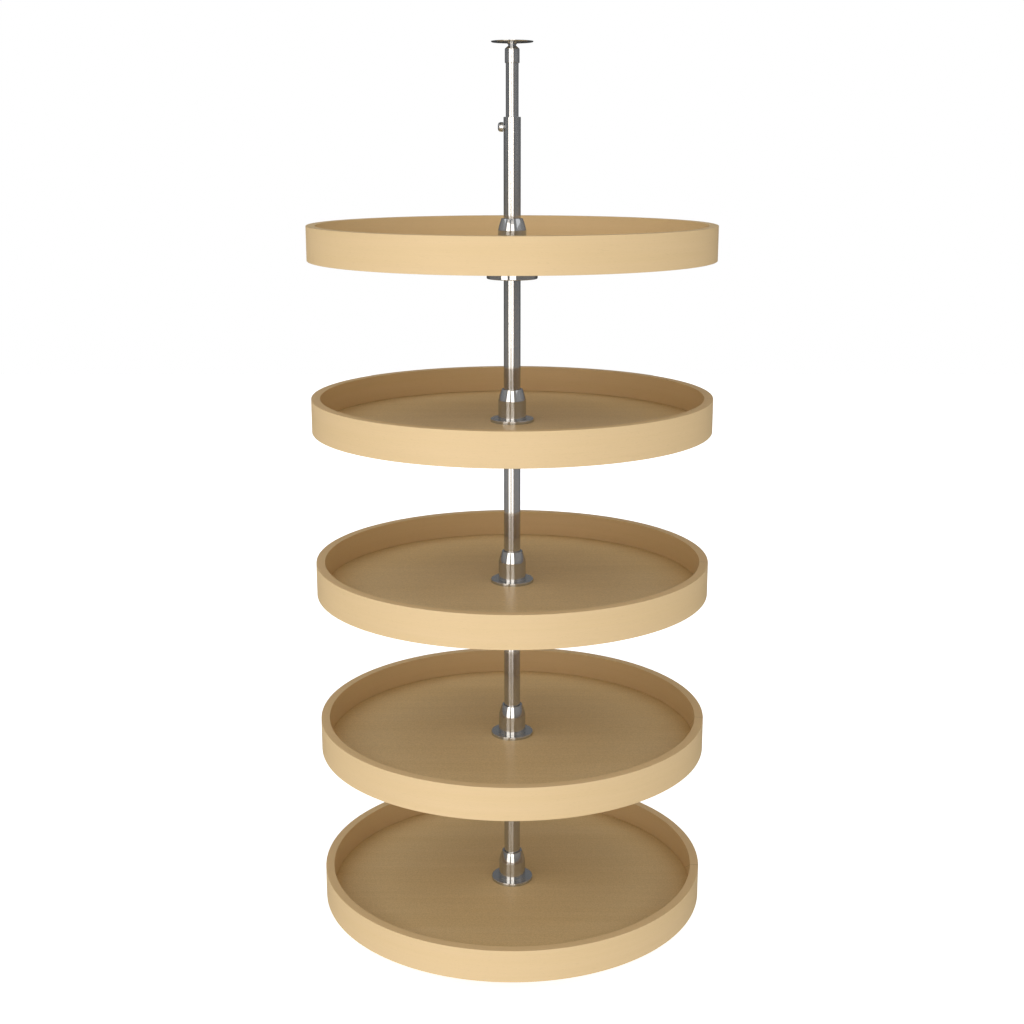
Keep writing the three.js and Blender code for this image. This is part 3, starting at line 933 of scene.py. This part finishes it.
dress("guide_bush", turn([
    (inner_radius + slide_gap, guide_base, 0.2),
    (guide_radius, guide_base, 0.2),
    (guide_radius, guide_top, 0.2),
    (inner_radius + slide_gap, guide_top, 0.4),
]), nylon)
dress("inner_tube_glide", turn([
    (inner_radius + slide_gap, glide_base, 0.2),
    (glide_radius, glide_base, 0.5),
    (glide_radius, glide_top, 0.5),
    (inner_radius + slide_gap, glide_top, 0.2),
]), nylon)
dress("foot_plug", turn([
    (0, plug_base, 0),
    (plug_radius, plug_base, 0.8),
    (plug_radius, plug_top, 0.8),
    (0, plug_top, 0),
]), nylon)
print(f"guide bush: {guide_top - guide_base:.1f} mm, glide ring: {glide_top - glide_base:.1f} mm")
print(f"foot plug: {plug_top - plug_base:.1f} mm")

# %% Lock screw and its insert
shank_low, head_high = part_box("lock_screw")
lock_tip = -head_high.x / MM
lock_end = -shank_low.x / MM
lock_head_radius = (head_high.z - shank_low.z) / 2 / MM
lock_head_length = 8.0
lock_head_round = 4.3
lock_shank_radius = 3.0
lock_head_base = lock_end - lock_head_length


def swing_to_the_left(shape):
    """Turns a shape made along Z so that it points to -X, at the lock's height."""
    bmesh.ops.rotate(shape, verts=shape.verts[:], matrix=Matrix.Rotation(-math.pi / 2, 3, "Y"))
    bmesh.ops.translate(shape, verts=shape.verts[:], vec=(0, 0, lock_height * MM))
    return shape


dress("lock_screw", swing_to_the_left(turn([
    (0, lock_tip, 0),
    (lock_shank_radius, lock_tip, 0.4),
    (lock_shank_radius, lock_head_base, 0.2),
    (lock_head_radius, lock_head_base, 0.7),
    (lock_head_radius, lock_end, lock_head_round),
    (0, lock_end, 0),
], 64)), chrome)
dress("lock_insert", swing_to_the_left(turn([
    (lock_shank_radius + running_gap, -insert_high.x / MM, 0.1),
    (insert_radius, -insert_high.x / MM, 0.1),
    (insert_radius, -insert_low.x / MM, 0.1),
    (lock_shank_radius + running_gap, -insert_low.x / MM, 0.1),
], 64)), zinc)
print(f"lock screw: head {2 * lock_head_radius:.1f} mm across, {lock_end - lock_head_base:.1f} mm long")

# %% Inner tube and ferrule
inner_wall = 1.2
ferrule_radius, ferrule_base, ferrule_tip = reach("top_ferrule")
ferrule_length = 19.7
ferrule_wall = 1.05
washer_radius, washer_base, washer_top = reach("pivot_washer")
pivot_radius = 3.4
pivot_gap = 0.1
pivot_bore = pivot_radius + pivot_gap
ferrule_shoulder = ferrule_base + ferrule_length

dress("inner_tube", turn([
    (inner_radius - inner_wall, inner_foot, 0.2),
    (inner_radius, inner_foot, 0.3),
    (inner_radius, inner_top, 0.3),
    (inner_radius - inner_wall, inner_top, 0.2),
]), chrome)
dress("top_ferrule", turn([
    (inner_radius + seat_gap, ferrule_base, 0.1),
    (ferrule_radius, ferrule_base, 0.4),
    (ferrule_radius, ferrule_shoulder, 0.8),
    (washer_radius, ferrule_tip, 0.3),
    (pivot_bore, ferrule_tip, 0.2),
    (pivot_bore, ferrule_shoulder - ferrule_wall, 0),
    (inner_radius + seat_gap, ferrule_shoulder - ferrule_wall, 0),
]), chrome)
print(f"ferrule: {ferrule_length} mm sleeve, {ferrule_tip - ferrule_shoulder:.1f} mm taper")

# %% Pivot pin and washer
_, pin_base, pin_top = reach("pivot_pin")
pin_head_height = 2.6
dress("pivot_pin", turn([
    (0, pin_base, 0),
    (inner_radius, pin_base, 0.4),
    (inner_radius, pin_base + pin_head_height, 0.4),
    (pivot_radius, pin_base + pin_head_height, 0.2),
    (pivot_radius, pin_top, 0.5),
    (0, pin_top, 0),
]), zinc)
squash = 0.25  # the washer is drawn pressed up to both faces, so that no light comes through its gaps
dress("pivot_washer", turn([
    (pivot_bore, washer_base - squash, 0.1),
    (washer_radius, washer_base - squash, 0.1),
    (washer_radius, washer_top + squash, 0.1),
    (pivot_bore, washer_top + squash, 0.1),
]), zinc)
print(f"pivot pin: {pin_top - pin_base:.1f} mm long")

# %% [markdown]
# ## Plates
#
# A thin disc screws up against the cabinet's ceiling, with a cone boss that turns on the pivot pin. Its rim
# is chamfered underneath, so it mirrors the room's dark lower end and reads as one dark line. Another disc
# screws to the floor and has a socket for the pole. Both have three holes for wood screws, countersunk from
# the side that the screwdriver comes from.

# %% Ceiling plate
plate_radius, boss_base, plate_top = reach("ceiling_plate")
plate_thickness = 1.6
boss_radius = 8.7
rim_chamfer = 0.95
rim_edge = 0.35
bore_roof = 0.4
ceiling_hole_radius = 2.2
countersink = 1.0
hole_count = 3
drill_clearance = 0.02
plate_base = plate_top - plate_thickness


def countersunk_drills(circle_radius, hole_radius, face, back):
    """Cutters for the screw holes, each with a cone that opens at the face, in millimetres."""
    drills = []
    depth = 1 if face > back else -1
    for index in range(hole_count):
        cutter = bmesh.new()
        for near, far, near_radius in (
            (face + depth, back - depth, hole_radius),
            (face + depth * drill_clearance, face - depth * countersink, hole_radius + countersink),
        ):
            bmesh.ops.create_cone(
                cutter, cap_ends=True, segments=48, radius1=hole_radius * MM, radius2=near_radius * MM,
                depth=abs(near - far) * MM,
                matrix=Matrix.Translation((0, circle_radius * MM, (near + far) / 2 * MM))
                @ Matrix.Rotation(0 if depth > 0 else math.pi, 4, "X"),
            )
        bmesh.ops.rotate(
            cutter, verts=cutter.verts[:], cent=(0, 0, 0),
            matrix=Matrix.Rotation(2 * math.pi * index / hole_count, 3, "Z"),
        )
        drills.append(cutter)
    return drills


ceiling_plate = turn([
    (0, plate_base - bore_roof, 0),
    (pivot_bore, plate_base - bore_roof, 0),
    (pivot_bore, boss_base, 0.1),
    (washer_radius, boss_base, 0.3),
    (boss_radius, plate_base, 0.5),
    (plate_radius - rim_chamfer, plate_base, 0.3),
    (plate_radius, plate_top - rim_edge, 0.1),
    (plate_radius, plate_top, 0.1),
    (0, plate_top, 0),
])
ceiling_circle = (boss_radius + plate_radius) / 2
drills = countersunk_drills(ceiling_circle, ceiling_hole_radius, plate_base, plate_top)
dress("ceiling_plate", drill(ceiling_plate, drills), chrome)
print(f"ceiling plate: {2 * plate_radius:.1f} mm across, {hole_count} holes on {2 * ceiling_circle:.1f} mm")

# %% Floor plate
foot_radius, _, socket_top = reach("floor_plate")
foot_thickness = 2.6
socket_bore = pole_radius + seat_gap
socket_wall = 3.4
socket_radius = socket_bore + socket_wall
floor_hole_radius = 2.5

floor_plate = turn([
    (0, 0, 0),
    (foot_radius, 0, 0.3),
    (foot_radius, foot_thickness, 0.9),
    (socket_radius, foot_thickness, 0.8),
    (socket_radius, socket_top, 0.8),
    (socket_bore, socket_top, 0.5),
    (socket_bore, foot_thickness, 0),
    (0, foot_thickness, 0),
])
floor_circle = (socket_radius + foot_radius) / 2
drills = countersunk_drills(floor_circle, floor_hole_radius, foot_thickness, 0)
dress("floor_plate", drill(floor_plate, drills), zinc)
print(f"floor plate: {2 * foot_radius:.1f} mm across, socket {socket_top - foot_thickness:.1f} mm tall")

# %% [markdown]
# ## Hub screws
#
# Four screws come up through each steel flange and the panel and pull the hub cap down from below. Only
# their low dome heads show, in the gap above the lock collar. They are too small for the frame, so they
# are added here and ride on their tray.

# %% Hub screws
hub_screw_count = 4
hub_screw_head_radius = 2.8
hub_screw_head_height = 1.8
hub_screw_radius = 1.5
hub_screw_dome = 1.5
hub_screw_cover = 1.0  # steel left over the tip
hub_screw_circle = (hub_bore + cage_radius - cage_width) / 2
hub_screw_top = flange_top - hub_screw_cover


def hub_screws(base_mm):
    """Four dome-headed screws, heads down, for a tray whose underside is at a height in millimetres."""
    screws = bmesh.new()
    for index in range(hub_screw_count):
        screw = turn([
            (0, hub_flange_base - hub_screw_head_height, 0),
            (hub_screw_head_radius, hub_flange_base - hub_screw_head_height, hub_screw_dome),
            (hub_screw_head_radius, hub_flange_base, 0.1),
            (hub_screw_radius, hub_flange_base, 0),
            (hub_screw_radius, hub_screw_top, 0.4),
            (0, hub_screw_top, 0),
        ], 32)
        bmesh.ops.translate(screw, verts=screw.verts[:], vec=(hub_screw_circle * MM, 0, base_mm * MM))
        angle = 2 * math.pi * (index + 0.5) / hub_screw_count
        bmesh.ops.rotate(screw, verts=screw.verts[:], cent=(0, 0, 0), matrix=Matrix.Rotation(angle, 3, "Z"))
        mesh = bpy.data.meshes.new("screw")
        screw.to_mesh(mesh)
        screw.free()
        screws.from_mesh(mesh)
        bpy.data.meshes.remove(mesh)
    return screws


for number, base in tray_bases_mm.items():
    screws_mesh = bpy.data.meshes.new(f"tray_{number}_hub_screws")
    screws = hub_screws(base)
    screws.to_mesh(screws_mesh)
    screws.free()
    screws_mesh.shade_smooth()
    screws_mesh.set_sharp_from_angle(angle=smooth_up_to)
    screws_mesh.materials.append(black_oxide)
    screw_group = bpy.data.objects.new(f"tray_{number}_hub_screws", screws_mesh)
    bpy.context.scene.collection.objects.link(screw_group)
    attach(screw_group, f"tray_{number}")
print(f"hub screws: {hub_screw_count} in each of {len(tray_bases_mm)} trays")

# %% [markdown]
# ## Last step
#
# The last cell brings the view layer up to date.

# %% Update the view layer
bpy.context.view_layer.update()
